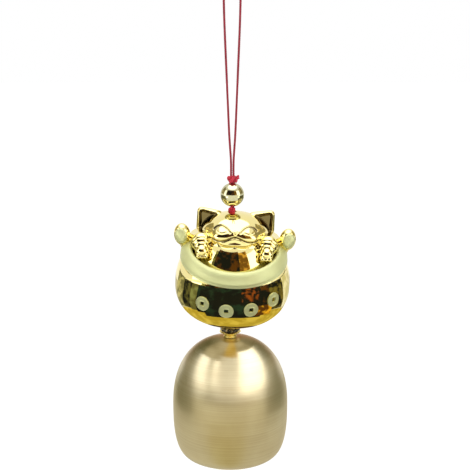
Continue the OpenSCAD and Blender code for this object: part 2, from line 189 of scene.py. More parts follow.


# %% [markdown]
# ## The gold plating
# The cat and its bowl are moulded and then plated, so they are a mirror with a warm tint. Real
# plating is never perfect: it has a faint orange-peel waviness, and finger marks that dull it here
# and there. The lines of the face and the scoops of the ears get painted shade, a dark brown mixed
# into the gold: the cat's mesh carries how deep each point lies as an attribute, and that depth sets the
# painted shade.

# %% Gold plating
# The dark brown is painted shade, mixed into the gold where the face lines and ear scoops lie deep.
gold_deep, gold_light, painted_shade_brown = (0.88, 0.74, 0.28), (0.94, 0.82, 0.38), (0.07, 0.038, 0.01)
plate = Finish("gold_plate")
warmth = plate.noise(9, 3)
painted_shade_share = plate.node("ShaderNodeAttribute", {"attribute_name": "hollow"}, output="Fac")
marks = plate.noise(3, 4)
plate.finish(
    Base_Color=plate.mix(painted_shade_share, plate.mix(warmth, gold_deep, gold_light), painted_shade_brown),
    Metallic=1.0,
    Roughness=0.035 + 0.06 * marks * marks,
    Normal=plate.bump(plate.noise(1.6, 1), 0.012, 0.5),
)

# %% Paler plating of the ball bead
bead_plate = Finish("bead_plate")
bead_plate.finish(
    Base_Color=bead_plate.mix(bead_plate.noise(4, 2), (0.50, 0.47, 0.25), (0.64, 0.61, 0.40)),
    Metallic=1.0,
    Roughness=0.05 + 0.08 * bead_plate.noise(1.5, 4),
    Normal=bead_plate.bump(bead_plate.noise(1.2, 2), 0.01, 0.5),
)

# %% [markdown]
# ## The matt pale gold
# The rolled collar, the coins and the sole pads are sprayed with a matt pale gold with a fine
# grain. It is part metal and part paint: a rough shader with a yellow-green cream colour.

# %% Matt pale gold
cream = Finish("cream_gold")
grain = cream.noise(0.25, 3)
cream.finish(
    Base_Color=cream.mix(cream.noise(5, 2), (0.62, 0.63, 0.28), (0.73, 0.75, 0.38)),
    Metallic=0.35,
    Roughness=0.38 + 0.14 * grain,
    Normal=cream.bump(grain, 0.02, 0.5),
)

# %% [markdown]
# ## Spun and brushed copper
# The bell is spun on a lathe and brushed while it turns. The brushing leaves rings round the axis,
# so the shine spreads up and down. Very flat, wide noise gives the rings, and the shader's own
# anisotropy spreads the highlight across them.

# %% Brushed copper
copper = Finish("bell_copper")
rings = copper.noise(2.2, 4, (0.02, 0.02, 7.0))
scratches = copper.noise(3.0, 6, (0.06, 0.06, 9.0))
tarnish = copper.noise(14, 3, (1.0, 1.0, 0.7))
tone = copper.ramp(
    tarnish * 0.45 + rings * 0.25 + scratches * 0.3,
    [(0.3, (0.62, 0.50, 0.29)), (0.52, (0.75, 0.65, 0.42)), (0.72, (0.84, 0.77, 0.55))],
)
copper.finish(
    Base_Color=tone,
    Metallic=1.0,
    Roughness=0.24 + 0.14 * rings,
    Anisotropic=0.6,
    Normal=copper.bump(scratches, 0.06, 0.5),
)

# %% Polished brass of the cup, and the tumbled clapper
cup_gold = Finish("cup_gold")
cup_gold.finish(
    Base_Color=cup_gold.mix(cup_gold.noise(2, 2), (0.90, 0.72, 0.22), (0.96, 0.82, 0.34)),
    Metallic=1.0,
    Roughness=0.22 + 0.1 * cup_gold.noise(0.8, 3, (0.1, 0.1, 4.0)),
)
clapper_brass = Finish("clapper_brass")
dents = clapper_brass.noise(1.1, 4)
clapper_brass.finish(
    Base_Color=clapper_brass.mix(dents, (0.55, 0.38, 0.16), (0.78, 0.60, 0.30)),
    Metallic=1.0,
    Roughness=0.25 + 0.2 * dents,
    Normal=clapper_brass.bump(dents, 0.05, 0.4),
)

# %% Stamped steel washer and the dark glass bead, with painted shade and painted glints
washer_steel = Finish("washer_steel")
stamp = washer_steel.noise(0.5, 4)
washer_steel.finish(
    Base_Color=washer_steel.mix(stamp, (0.5, 0.49, 0.47), (0.68, 0.66, 0.63)),
    Metallic=1.0,
    Roughness=0.28 + 0.2 * stamp,
    Normal=washer_steel.bump(stamp, 0.02, 0.4),
)
# The near-black is partly the bead's own colour and partly painted shade of the gap under the bowl, and the
# golden specks are painted glints.
dark = Finish("dark_bead")
painted_glints = dark.noise(0.8, 3)
dark.finish(
    Base_Color=dark.ramp(painted_glints, [(0.5, (0.012, 0.010, 0.008)), (0.66, (0.5, 0.38, 0.16))]),
    Roughness=0.08 + 0.1 * painted_glints,
    Coat_Weight=0.6,
)

# %% [markdown]
# ## The red cord
# Satin knotting cord is dyed crimson. Its fibres run along each ply, and catch a soft sheen. The
# plies are real geometry. The finish mixes a shaded and a lit copy of each crimson: along the fibres
# this paints shade between them and highlights on them, and a wider noise adds uneven dye.

# %% Two red cords
for name, shade, light in [
    ("red_cord", (0.26, 0.008, 0.022), (0.48, 0.025, 0.055)),
    ("knot_cord", (0.52, 0.010, 0.028), (0.84, 0.04, 0.085)),
]:
    cord_finish = Finish(name)
    fibre = cord_finish.noise(0.22, 4, (1.0, 1.0, 0.35))
    cord_finish.finish(
        # Fibre streaks paint shade and highlights, and the wide noise is uneven dye.
        Base_Color=cord_finish.mix(fibre * 0.7 + cord_finish.noise(3, 2) * 0.3, shade, light),
        Roughness=0.55 + 0.2 * fibre,
        Sheen_Weight=0.15,
        Specular_IOR_Level=0.35,
        Normal=cord_finish.bump(fibre, 0.05, 0.7),
    )

# %% [markdown]
# ## Twisted cord
# A cord is three plies that wind round each other. Each ply is a tube along a helix about the
# cord's line. Two directions across the line are carried along it, so that the helix never flips.

# %% A line with its corners cut, and one with evenly spaced points
def smooth_line(points, rounds=2):
    points = np.array(points, float)
    for _ in range(rounds):
        finer = np.empty((2 * len(points) - 2, points.shape[1]))
        finer[0::2] = points[:-1] * 0.75 + points[1:] * 0.25
        finer[1::2] = points[:-1] * 0.25 + points[1:] * 0.75
        points = np.concatenate([points[:1], finer, points[-1:]])
    return points


def reach_along(line):
    return np.concatenate([[0], np.cumsum(np.linalg.norm(np.diff(line, axis=0), axis=1))])


def even_line(points, step):
    points = smooth_line(points, 3)
    reach = reach_along(points)
    places = np.linspace(0, reach[-1], max(4, int(reach[-1] / step)))
    return np.stack([np.interp(places, reach, points[:, k]) for k in range(3)], axis=1)


# %% Two directions across a line, at each of its points
def across(line):
    along = np.gradient(line, axis=0)
    along /= np.linalg.norm(along, axis=1)[:, None]
    side = np.cross(along[0], [0.31, 0.87, 0.38])
    sides_at, outs_at = [], []
    for forward in along:
        side = side - forward * side.dot(forward)
        side /= np.linalg.norm(side)
        sides_at.append(side)
        outs_at.append(np.cross(forward, side))
    return np.array(sides_at), np.array(outs_at)


# %% A tube along a line, and a cord twisted about one
plies, ply_swell = 3, 1.16


def tube(line, radius, sides):
    turn = np.arange(sides)[:, None] * 2 * math.pi / sides
    rings = [
        place + radius * (np.cos(turn) * side + np.sin(turn) * out)
        for place, side, out in zip(line, *across(line))
    ]
    points = np.concatenate(rings + [line[:1], line[-1:]])
    first, last, end = len(points) - 2, len(points) - 1, (len(line) - 1) * sides
    faces = []
    for i in range(len(line) - 1):
        for k in range(sides):
            a, b = i * sides + k, i * sides + (k + 1) % sides
            faces.append((a, b, b + sides, a + sides))
    for k in range(sides):
        faces.append((first, (k + 1) % sides, k))
        faces.append((last, end + k, end + (k + 1) % sides))
    return points, faces


def twisted(points, width, pitch, step=0.16, sides=7):
    line = even_line(points, step)
    side, out = across(line)
    ply_r = width / 2 / (1 + 2 / math.sqrt(3)) * ply_swell
    parts = []
    for ply in range(plies):
        turn = (2 * math.pi * (reach_along(line) / pitch + ply / plies))[:, None]
        helix = line + (width / 2 - ply_r) * (np.cos(turn) * side + np.sin(turn) * out)
        parts.append(tube(helix, ply_r, sides))
    return together(parts)


# %% [markdown]
# ## The hanging loop
# The cord is one piece about 12 cm long. It leaves the top knot, runs up, bends over its hook and
# comes back down, so it hangs taut in two strands that touch above the knot. The bend is outside
# the photograph.

# %% Lay the loop's cord
knot_drop, cord_d, bend_r = 60.2, 0.8, 2.7
single_pitch, drawn_drop, bend_steps = 1.9, 60, 12
route = [
    (0.41, -60), (0.41, -58), (0.42, -56), (0.48, -54), (0.7, -51), (0.97, -47), (1.2, -42),
    (1.45, -36), (1.7, -30), (1.95, -24), (2.2, -18), (2.45, -12), (2.6, -7),
]  # fmt: skip
left_strand = [(-x, 0, z * knot_drop / drawn_drop) for x, z in route]
bend = []
for i in range(bend_steps + 1):
    turn = math.pi * i / bend_steps
    bend.append((-bend_r * math.cos(turn), 0, cord_d / 2 - bend_r + bend_r * math.sin(turn)))
right_strand = [(x, 0, z * knot_drop / drawn_drop) for x, z in reversed(route)]
loop_line = left_strand + bend + right_strand
points, faces = twisted(loop_line, cord_d, single_pitch)
hanging_cord = make_piece("hanging_cord", points, faces, "loop", "red_cord", ["hanging_loop"])
[v * MM for v in loop_line[0]]
[[v * MM for v in p] for p in loop_line]

# %% [markdown]
# ## Knots
# The top knot is a plain overhand knot pulled tight, with two cut tails. A trefoil curve is the
# real path of such a knot, squashed until its strands touch. The other knots are the same knot in
# other sizes.

# %% Tie a knot
trefoil_reach, trefoil_steps = 2.75, 90
knot_pitch, core_pitch, core_share, core_inset = 1.7, 2.2, 0.62, 0.1
tail_pitch, tail_share = 1.6, 0.85


def overhand(centre, width, height, thickness, turn):
    t = np.linspace(0, 2 * math.pi, trefoil_steps)
    x = np.sin(t) + 2 * np.sin(2 * t)
    y = np.cos(t) - 2 * np.cos(2 * t)
    reach = (width - thickness) / 2 / trefoil_reach
    flat = np.stack([x * reach, y * reach, -np.sin(3 * t) * (height - thickness) / 2], axis=1)
    c, s = math.cos(turn), math.sin(turn)
    return flat @ np.array([[c, s, 0], [-s, c, 0], [0, 0, 1]]) + np.asarray(centre, float)


def knot_piece(name, centre, size, thickness, body, node, tails=(), turn=0.0):
    width, height = size
    parts = [twisted(overhand(centre, width, height, thickness, turn), thickness, knot_pitch, step=0.12)]
    core_end = height / 2 - core_inset
    core = np.array([[0, 0, -core_end], [0, 0, 0.0], [0, 0, core_end]]) + np.asarray(centre)
    parts.append(twisted(core, min(width, height) * core_share, core_pitch, step=0.15))
    for start, end in tails:
        middle = np.array(start) * 0.5 + np.array(end) * 0.5
        parts.append(twisted([start, middle, end], thickness * tail_share, tail_pitch))
    points, faces = together(parts)
    return make_piece(name, points, faces, body, "knot_cord", [node])


# %% The top knot and its tails
knot_d, knot_h, knot_cord_d = 3.7, 2.5, 1.0
knot_low = -knot_drop - knot_h
knot_tails = [((0.9, -0.5, -61.6), (2.2, -0.9, -60.75)), ((0.9, 0.3, -61.2), (2.15, 0.5, -60.3))]
knot_middle = (0, 0, (knot_low - knot_drop) / 2)
knot_piece("top_knot_tied", knot_middle, (knot_d, knot_h), knot_cord_d, "knot", "top_knot", knot_tails)

# %% [markdown]
# ## Turned pieces
# The ball bead, the cup and the bell are bodies of revolution, so one lathe helper makes them from
# a closed outline of radius and height.

# %% A lathe, and an arc for its outlines
def lathe(outline, sides=128, centre_x=0):
    turn = np.arange(sides) * 2 * math.pi / sides
    points, faces = [], []
    for r, z in outline:
        points.extend(zip((centre_x + r * np.cos(turn)).tolist(), (r * np.sin(turn)).tolist(), [z] * sides))
    for row in range(len(outline)):
        low, high = row * sides, (row + 1) % len(outline) * sides
        for k in range(sides):
            n = (k + 1) % sides
            faces.append((low + k, low + n, high + n, high + k))
    return points, faces


def arc(centre, radii, start, end, steps):
    turns = [math.radians(start + (end - start) * i / steps) for i in range(steps + 1)]
    return [(centre[0] + radii[0] * math.cos(a), centre[1] + radii[1] * math.sin(a)) for a in turns]


# %% The ball bead and the cord in it
bead_d, bore_d, seat_gap = 8.0, 2.2, 0.05
bead_bore_r, bead_bore_reach = bore_d / 2 - seat_gap, 3.6
double_d, double_pitch = 2 * cord_d, 3.0
bead_seat = bead_d / 2 - math.sqrt((bead_d / 2) ** 2 - (bore_d / 2) ** 2)
bead_z = knot_low - seat_gap + bead_seat - bead_d / 2
edge = math.degrees(math.acos(bore_d / bead_d))
outline = arc((0, bead_z), (bead_d / 2, bead_d / 2), -edge, edge, 48)
outline += [(bead_bore_r, bead_z + bead_bore_reach), (bead_bore_r, bead_z - bead_bore_reach)]
points, faces = lathe(outline)
make_piece("ball_bead", points, faces, "bead", "bead_plate", ["top_bead"])
bead_low = bead_z - bead_d / 2 + bead_seat
points, faces = twisted([(0, 0, knot_low), (0, 0, bead_z), (0, 0, bead_low)], double_d, double_pitch)
make_piece("cord_in_bead", points, faces, "knot", "red_cord", ["bead_cord"])

# %% [markdown]
# ## The figure's place
# The cat and its bowl hang as one piece, rolled three degrees, because the cord's holes don't quite
# line up. The figure is modelled upright about the middle of its bowl, and this helper puts its
# points where they hang.

# %% From the figure's own frame to the chime's
roll = math.radians(3)
nod_gap, head_knot_proud = 0.3, 1.4
head_knot_top = bead_low - nod_gap
head_top = head_knot_top - head_knot_proud
head_z, head_rise = 18.2, 6.7
bowl_z = head_top - head_rise - head_z


def hang(points):
    x, y, z = np.asarray(points, float).T
    turned_z = z * math.cos(roll) - x * math.sin(roll)
    return np.stack([x * math.cos(roll) + z * math.sin(roll), y, turned_z + bowl_z], 1)


def turn_only(vectors):
    return hang(vectors) - np.array([0, 0, bowl_z])


print("the bowl's middle is at", round(bowl_z, 2), "mm")

# %% [markdown]
# ## The cat as a field
# The cat is one soft moulding: head, body, arms and feet flow into each other. Stacked solids would
# show hard creases, and a mirror finish shows the smallest dent. So the form is written as a field,
# a function that says how far a point is from the surface. Soft unions blend the parts, and grooves
# are small additions to the field.

# %% Simple fields
def oval(p, centre, radii):
    q = (p - np.array(centre)) / np.array(radii)
    k0 = np.linalg.norm(q, axis=1) + 1e-9
    k1 = np.linalg.norm(q / np.array(radii), axis=1) + 1e-9
    return k0 * (k0 - 1) / k1


def stick(p, a, b, ra, rb):
    a, b = np.array(a, float), np.array(b, float)
    share = np.clip(((p - a) @ (b - a)) / ((b - a) @ (b - a)), 0, 1)
    return np.linalg.norm(p - a - share[:, None] * (b - a), axis=1) - (ra + (rb - ra) * share)


def soft_join(a, b, k):
    h = np.clip(0.5 + 0.5 * (b - a) / k, 0, 1)
    return b * (1 - h) + a * h - k * h * (1 - h)


def soft_cut(a, b, k):
    return -soft_join(-a, b, k)


# %% A field round a flat triangle, for the ears
def plate_field(p, a, b, c, r):
    a, b, c = (np.array(v, float) for v in (a, b, c))
    normal = np.cross(b - a, c - a)
    normal /= np.linalg.norm(normal)
    inside = np.ones(len(p), bool)
    nearest = np.full(len(p), 1e9)
    for s, e in ((a, b), (b, c), (c, a)):
        inside &= ((p - s) @ np.cross(normal, e - s)) > 0
        share = np.clip(((p - s) @ (e - s)) / ((e - s) @ (e - s)), 0, 1)
        nearest = np.minimum(nearest, np.linalg.norm(p - s - share[:, None] * (e - s), axis=1))
    return np.where(inside, np.abs((p - a) @ normal), nearest) - r


# %% A groove or ridge along a drawn line on the front
def drawn(p, line, width):
    flat = p[:, [0, 2]]
    low, high = line.min(0) - 3 * width, line.max(0) + 3 * width
    near = np.flatnonzero((p[:, 1] < -2) & (flat > low).all(1) & (flat < high).all(1))
    depth = np.zeros(len(p))
    if len(near):
        start, step = line[:-1], np.diff(line, axis=0)
        gap = flat[near, None, :] - start
        share = np.clip((gap * step).sum(2) / (step**2).sum(1), 0, 1)
        gap -= share[:, :, None] * step
        depth[near] = np.exp(-(gap**2).sum(2).min(1) / width**2)
    return depth


# %% [markdown]
# ## The cat's parts
# The sizes follow the CAD. The face is a calm closed-eyed cat: two arched lids, a small nose and a
# wide soft mouth with a chin below it. The paws hang over folded arms, with three fingers each.

# %% The lines of the face
lid = smooth_line([(1.7, 19.9), (2.6, 21.0), (4.6, 21.75), (6.2, 21.1), (7.0, 20.2)])
lower_lid = smooth_line([(3.1, 19.9), (4.6, 19.35), (5.9, 19.9)])
lip = smooth_line([(0.0, 18.35), (1.6, 18.0), (3.2, 17.1), (5.0, 16.65), (6.4, 16.8), (7.2, 17.2)])
philtrum = smooth_line([(0.0, 19.2), (0.0, 18.3)])
chin_edge = smooth_line([(0.0, 15.35), (2.5, 15.0), (4.6, 15.3), (5.6, 16.0)])

# %% The places and radii of the cat's parts
head_r, torso_middle, torso_radii = 11.4, (0, 0, 2.6), (15.2, 15.2, 18.5)
muzzle_middle, muzzle_radii = (3.2, -9.3, 17.9), (4.0, 2.3, 1.9)
nose_middle, nose_radii = (0, -10.9, 19.9), (0.85, 0.75, 0.6)
chin_middle, chin_radii = (0, -9.9, 15.9), (4.9, 1.9, 1.0)
ear_root, ear_root_radii = (8.2, 2.2, 20.6), (3.0, 2.6, 3.0)
shoulder_r, upper_elbow_r, lower_elbow_r, wrist_r = 3.5, 3.4, 2.9, 2.1
finger_root_r, finger_tip_r, knee_r, hip_r = 0.85, 0.8, 2.3, 2.5
base_z, base_slope = 4.5, 0.35
head_hole_x, head_hole_r, head_hole_low = 1.303, 1.45, 23.6
ear = (11.5, 0, 24.3), (11.6, 0.3, 18.6), (5.9, 0.3, 23.4)
ear_scoop = (10.95, -1.8, 23.8), (10.95, -1.8, 19.7), (7.2, -1.8, 22.9)
ear_r = 1.5
shoulder, elbow, wrist = (11.8, -1.2, 15.3), (11, -6.6, 15.3), (10.6, -10.2, 13)
finger_end, finger_step = (10.4, -11.6, 11.6), 1.15
crease_depth, crease_w, crease_low = 0.15, 0.24, 12.6
foot, foot_r, foot_rise, foot_lean = (17.5, -3.4, 16.9), 2.75, 3.7, math.radians(8)
hip, knee = (15.2, -1.4, 12.4), (16.7, -2.4, 15.4)


# %% The field of the cat
def ear_scoop_field(p):
    return plate_field(p, *ear_scoop, ear_r)


def head_field(p):
    head = oval(p, (0, 0, head_z), (head_r, head_r, head_rise))
    head = soft_join(head, oval(p, muzzle_middle, muzzle_radii), 2.0)
    return soft_join(head, oval(p, nose_middle, nose_radii), 0.5)


def ear_field(p):
    form = soft_join(plate_field(p, *ear, ear_r), oval(p, ear_root, ear_root_radii), 1.2)
    return soft_cut(form, ear_scoop_field(p), 0.2)


def arm_field(p):
    arm = stick(p, shoulder, elbow, shoulder_r, upper_elbow_r)
    arm = soft_join(arm, stick(p, elbow, wrist, lower_elbow_r, wrist_r), 1.0)
    forearm = np.array(wrist) - np.array(elbow)
    along = forearm / np.linalg.norm(forearm)
    for share in (0.25, 0.55, 0.85):
        middle = np.array(elbow) * (1 - share) + np.array(wrist) * share
        crease = np.exp(-((((p - middle) @ along) / crease_w) ** 2))
        arm = arm + crease_depth * crease * (p[:, 2] > crease_low)
    for step in (-finger_step, 0, finger_step):
        root, tip = (wrist[0] + step, *wrist[1:]), (finger_end[0] + step, *finger_end[1:])
        arm = soft_join(arm, stick(p, root, tip, finger_root_r, finger_tip_r), 0.18)
    return arm


def leg_field(p):
    x, y, z = (p - np.array(foot)).T
    c, s = math.cos(foot_lean), math.sin(foot_lean)
    sole = oval(np.stack([x * c - z * s, y, x * s + z * c], 1), (0, 0, 0), (foot_r, foot_r, foot_rise))
    return soft_join(sole, stick(p, knee, hip, knee_r, hip_r), 0.6)


def cat_field(p):
    x, y, z = p.T
    hole = np.hypot(x + head_hole_x + (z - head_z - head_rise) * math.tan(roll), y) - head_hole_r
    p = np.stack([np.abs(x), y, z], 1)
    form = soft_join(oval(p, torso_middle, torso_radii), head_field(p), 1.0)
    form = soft_join(form, oval(p, chin_middle, chin_radii), 0.7)
    for line, depth, width in (
        (lip, 0.42, 0.34), (lid, 0.2, 0.26), (lower_lid, 0.08, 0.2),
        (philtrum, 0.22, 0.2), (chin_edge, 0.2, 0.3),
    ):  # fmt: skip
        form = form + depth * drawn(p, line, width)
    form = soft_join(form, ear_field(p), 0.45)
    form = soft_join(form, arm_field(p), 0.35)
    form = soft_join(form, leg_field(p), 0.3)
    form = soft_cut(form, np.maximum(hole, head_hole_low - z), 0.25)
    return np.maximum(form, base_z - z + base_slope * y)


# %% [markdown]
# ## From the field to a mesh
# The field is sampled on a grid, each grid cell that the surface crosses gets one point, and
# neighbouring cells join into quads. That mesh is stepped, so its points then slide down the
# field's slope until they lie exactly on the surface, and relax sideways until they are even.

# %% Wrap a mesh round a field
def slope(field, points, h=0.02):
    here = field(points)
    return here, np.stack([(field(points + d) - here) / h for d in np.eye(3) * h], 1)


def wrap(field, low, high, step):
    block = 4
    counts = [int((b - a) / step / block) + 1 for a, b in zip(low, high)]
    starts = [a + block * step * (np.arange(n) + 0.5) - step / 2 for a, n in zip(low, counts)]
    middles = np.stack(np.meshgrid(*starts, indexing="ij"), -1).reshape(-1, 3)
    rough = field(middles)
    solid = np.repeat(np.repeat(np.repeat((rough < 0).reshape(counts), block, 0), block, 1), block, 2)
    near = np.argwhere(np.abs(rough.reshape(counts)) < 1.6 * block * step)
    offsets = np.stack(np.meshgrid(*[np.arange(block)] * 3, indexing="ij"), -1).reshape(-1, 3)
    spots = (near[:, None, :] * block + offsets[None]).reshape(-1, 3)
    solid[spots[:, 0], spots[:, 1], spots[:, 2]] = field(np.array(low) + spots * step) < 0
    shape = solid.shape
    corners = sum(
        solid[i : shape[0] - 1 + i, j : shape[1] - 1 + j, k : shape[2] - 1 + k].astype(int)
        for i in (0, 1) for j in (0, 1) for k in (0, 1)
    )  # fmt: skip
    crossed = (corners > 0) & (corners < 8)
    number = np.full(crossed.shape, -1)
    number[crossed] = np.arange(crossed.sum())
    cells = np.argwhere(crossed)
    points = np.array(low) + (cells + 0.5) * step
    quads = []
    for axis in range(3):
        u, v = (axis + 1) % 3, (axis + 2) % 3
        ahead = [slice(None)] * 3
        ahead[axis] = slice(1, None)
        behind = [slice(None)] * 3
        behind[axis] = slice(None, -1)
        change = solid[tuple(behind)].astype(int) - solid[tuple(ahead)].astype(int)
        for sign in (1, -1):
            at = np.argwhere(change == sign)
            at = at[(at[:, u] > 0) & (at[:, v] > 0) & (at[:, u] < shape[u] - 1) & (at[:, v] < shape[v] - 1)]
            ring = []
            for du, dv in ((-1, -1), (0, -1), (0, 0), (-1, 0)):
                cell = at.copy()
                cell[:, u] += du
                cell[:, v] += dv
                ring.append(number[cell[:, 0], cell[:, 1], cell[:, 2]])
            ring = np.stack(ring if sign == 1 else ring[::-1], 1)
            quads.append(ring)
    return points, np.concatenate(quads)


# %% Settle the points on the surface
def settle(field, points, quads, rounds=5):
    ends = np.concatenate([quads[:, [k, (k + other) % 4]] for k in range(4) for other in (1, 3)])
    count = np.maximum(np.bincount(ends[:, 0], minlength=len(points)), 1)
    for turn in range(rounds):
        for _ in range(2 if turn == rounds - 1 else 1):
            here, grad = slope(field, points)
            move = grad * (here / ((grad**2).sum(1) + 1e-9))[:, None]
            points = points - np.clip(move, -0.3, 0.3)
        if turn < rounds - 1:
            total = [np.bincount(ends[:, 0], points[ends[:, 1], k], len(points)) for k in range(3)]
            points = points + 0.6 * (np.stack(total, 1) / count[:, None] - points)
    _, grad = slope(field, points)
    return points, grad / (np.linalg.norm(grad, axis=1)[:, None] + 1e-9)


# %% Painted shade: how deep each point lies in a line of the face or in an ear
def hollow(p):
    p = np.stack([np.abs(p[:, 0]), p[:, 1], p[:, 2]], 1)
    depth = np.maximum(0.95 * drawn(p, lip, 0.36), 0.95 * drawn(p, lid, 0.3))
    depth = np.maximum(depth, 0.6 * drawn(p, lower_lid, 0.2))
    in_scoop = np.clip(1.0 - ear_scoop_field(p) / 0.3, 0, 1)
    return np.maximum(depth, 0.85 * in_scoop * (p[:, 1] < 1))


# %% Make the cat
cat_step = 0.28
cat_points, cat_quads = wrap(cat_field, (-21.5, -16.5, -2.5), (21.5, 16.5, 26.5), cat_step)
cat_points, cat_normals = settle(cat_field, cat_points, cat_quads)
cat = make_piece(
    "plated_cat", hang(cat_points), cat_quads, "figure", "gold_plate",
    ["cat_body", "left_arm", "right_arm", "left_leg", "right_leg"], turn_only(cat_normals),
)  # fmt: skip
# How deep each point lies sets how much painted shade darkens the gold there.
cat.data.attributes.new("hollow", "FLOAT", "POINT").data.foreach_set("value", hollow(cat_points))

# %% [markdown]
# ## The sole pads
# Each raised foot shows a pale matt pad. A pad is a thin oval shell on the foot, so it is made as
# a disc of rings whose height falls to nothing at its edge, laid on the foot's own oval. The coins
# further down are made of two such layers too.

# %% Faces of two layers of rings, joined along some of their rows
def two_layers(rings, sides, rims, flip):
    faces, half = [], (rings + 1) * sides
    for layer in (0, 1):
        for i in range(rings):
            for k in range(sides):
                a, b = layer * half + i * sides + k, layer * half + i * sides + (k + 1) % sides
                quad = (a, b, b + sides, a + sides)
                faces.append(quad[::-1] if (layer == 0) != flip else quad)
    for row in rims:
        for k in range(sides):
            a, b = row * sides + k, row * sides + (k + 1) % sides
            quad = (a, b, b + half, a + half)
            faces.append(quad if (row == 0) != flip else quad[::-1])
    return faces


# %% Lay a pad on each foot
pad_r, pad_rise, pad_x, pad_z, pad_t = 2.1, 2.55, -0.05, -0.1, 0.3
pad_turn = math.radians(12)


def sole_pad(side, rings=14, sides=56):
    points = []
    for layer in (1, 0):
        for i in range(rings + 1):
            for k in range(sides):
                share, turn = i / rings, 2 * math.pi * k / sides
                x, z = pad_x + pad_r * share * math.cos(turn), pad_z + pad_rise * share * math.sin(turn)
                lift = pad_t * (1 - share**6) ** 0.5 if layer else -pad_t
                a, b = foot_r + lift, foot_rise + lift
                y = -math.sqrt(max(b * b * (1 - (x / a) ** 2 - (z / b) ** 2), 0.0)) * a / b
                c, s = math.cos(pad_turn), math.sin(pad_turn)
                x, y = x * c - y * s, x * s + y * c
                c, s = math.cos(foot_lean), math.sin(foot_lean)
                points.append((side * (foot[0] + x * c + z * s), foot[1] + y, foot[2] - x * s + z * c))
    return points, two_layers(rings, sides, (rings,), side > 0)


for word, side in (("left", -1), ("right", 1)):
    points, faces = sole_pad(side)
    make_piece(f"{word}_sole", hang(points), faces, "figure", "cream_gold", [f"{word}_sole_pad"])

# %% [markdown]
# ## The round bowl
# The bowl is round below and is cut by a plane that tilts forward, so a plain lathe can't end it.
# Each column of points climbs the same profile but stops where the tilted plane cuts it, which
# keeps every row smooth for the mirror finish.

# %% The bowl's profile and its tilted rim
bowl_r, bowl_depth, bowl_band, bowl_share = 19.35, 14.4, 1.2, 2.26
tilt, mouth_rise, collar_w = math.radians(21.9), 11.6, 5
rim_drop_share = 0.2
rim_h = mouth_rise - collar_w * rim_drop_share
seat_r, seat_sunk = 12.5, 0.8


def mouth_place(points):
    x, y, z = np.asarray(points, float).T
    raised = y * math.sin(tilt) + z * math.cos(tilt) + bowl_band
    return np.stack([x, y * math.cos(tilt) - z * math.sin(tilt), raised], 1)


def bowl_mesh(sides=192, low_steps=60, top_steps=30):
    points, faces, rows = [(0, 0, -bowl_depth)], [], low_steps + 2 + top_steps
    for k in range(sides):
        turn = 2 * math.pi * k / sides
        lift = -math.sin(turn) * math.sin(tilt)
        rim_turn = math.asin(rim_h / (bowl_r * math.hypot(math.cos(tilt), lift)))
        top = rim_turn - math.atan2(lift, math.cos(tilt))
        for i in range(1, low_steps + 1):
            a = math.radians(90 - 90 * i / low_steps)
            r = bowl_r * math.cos(a) ** (2 / bowl_share) if i < low_steps else bowl_r
            z = -bowl_depth * math.sin(a) ** (2 / bowl_share) if i < low_steps else 0
            points.append((r * math.cos(turn), r * math.sin(turn), z))
        for i in range(top_steps + 1):
            e = top * i / top_steps
            r, z = bowl_r * math.cos(e), bowl_band + bowl_r * math.sin(e)
            points.append((r * math.cos(turn), r * math.sin(turn), z))
        seat = (seat_r * math.cos(turn), seat_r * math.sin(turn), rim_h - seat_sunk)
        points.extend(mouth_place([seat]).tolist())
    for k in range(sides):
        a, b = 1 + k * rows, 1 + ((k + 1) % sides) * rows
        faces.append((0, b, a))
        for i in range(rows - 1):
            faces.append((a + i, b + i, b + i + 1, a + i + 1))
    faces.append([1 + k * rows + rows - 1 for k in range(sides)])
    return points, faces


points, faces = bowl_mesh()
make_piece("plated_bowl", hang(points), faces, "figure", "gold_plate", ["treasure_bowl"])

# %% [markdown]
# ## The rolled collar
# A thick rolled collar caps the rim. Its section is an oval that leans out over the bowl, with a
# fine bead under its lower edge. It is a lathe about the tilted mouth's axis.

# %% Turn the collar
collar_t, collar_proud, collar_steps = 2.8, 0.5, 72
bead_turn, bead_w, bead_share, bead_proud = 1.5 * math.pi, 0.26, 0.1, 0.35
notch_turn, notch_w, notch_share = 0.5, 0.16, 0.07
lean = math.atan2(mouth_rise, math.sqrt(bowl_r**2 - mouth_rise**2))
outline = []
for i in range(collar_steps):
    a = 2 * math.pi * i / collar_steps
    fine_bead = math.exp(-(((a - bead_turn) / bead_w) ** 2))
    notch = math.exp(-(((a - bead_turn - notch_turn) / notch_w) ** 2))
    grow = 1 + bead_share * fine_bead - notch_share * notch
    out = bowl_r + collar_proud + collar_t / 2 * grow * math.cos(a) + bead_proud * fine_bead
    v = collar_w / 2 * grow * math.sin(a)
    outline.append((out * math.cos(lean) - v * math.sin(lean), out * math.sin(lean) + v * math.cos(lean)))
points, faces = lathe(outline, sides=192)
make_piece("rolled_collar", hang(mouth_place(points)), faces, "figure", "cream_gold", ["bowl_collar"])

# %% [markdown]
# ## Four coins
# The bowl's front carries four round coins with square holes, a common sign of luck. They are thin
# and follow the bowl, so each is drawn flat and every point is then laid on the bowl's surface.

# %% A flat coin with a square hole, and the way onto the bowl
def bowl_side(z):
    return bowl_r * (1 - (abs(z) / bowl_depth) ** bowl_share) ** (1 / bowl_share)


def bowl_normal(r, z):
    radial = r ** (bowl_share - 1) / bowl_r**bowl_share
    down = -(abs(z) ** (bowl_share - 1)) / bowl_depth**bowl_share
    size = math.hypot(radial, down)
    return radial / size, down / size


coin_r, coin_hole, coin_t, coin_sunk, coin_rim = 2.4, 0.7, 0.22, 0.25, 0.17


def coin_section(share):
    outer, inner = math.exp(-(((share - 0.9) / 0.09) ** 4)), math.exp(-(((share - 0.12) / 0.11) ** 4))
    return coin_t + coin_rim * (outer + inner)


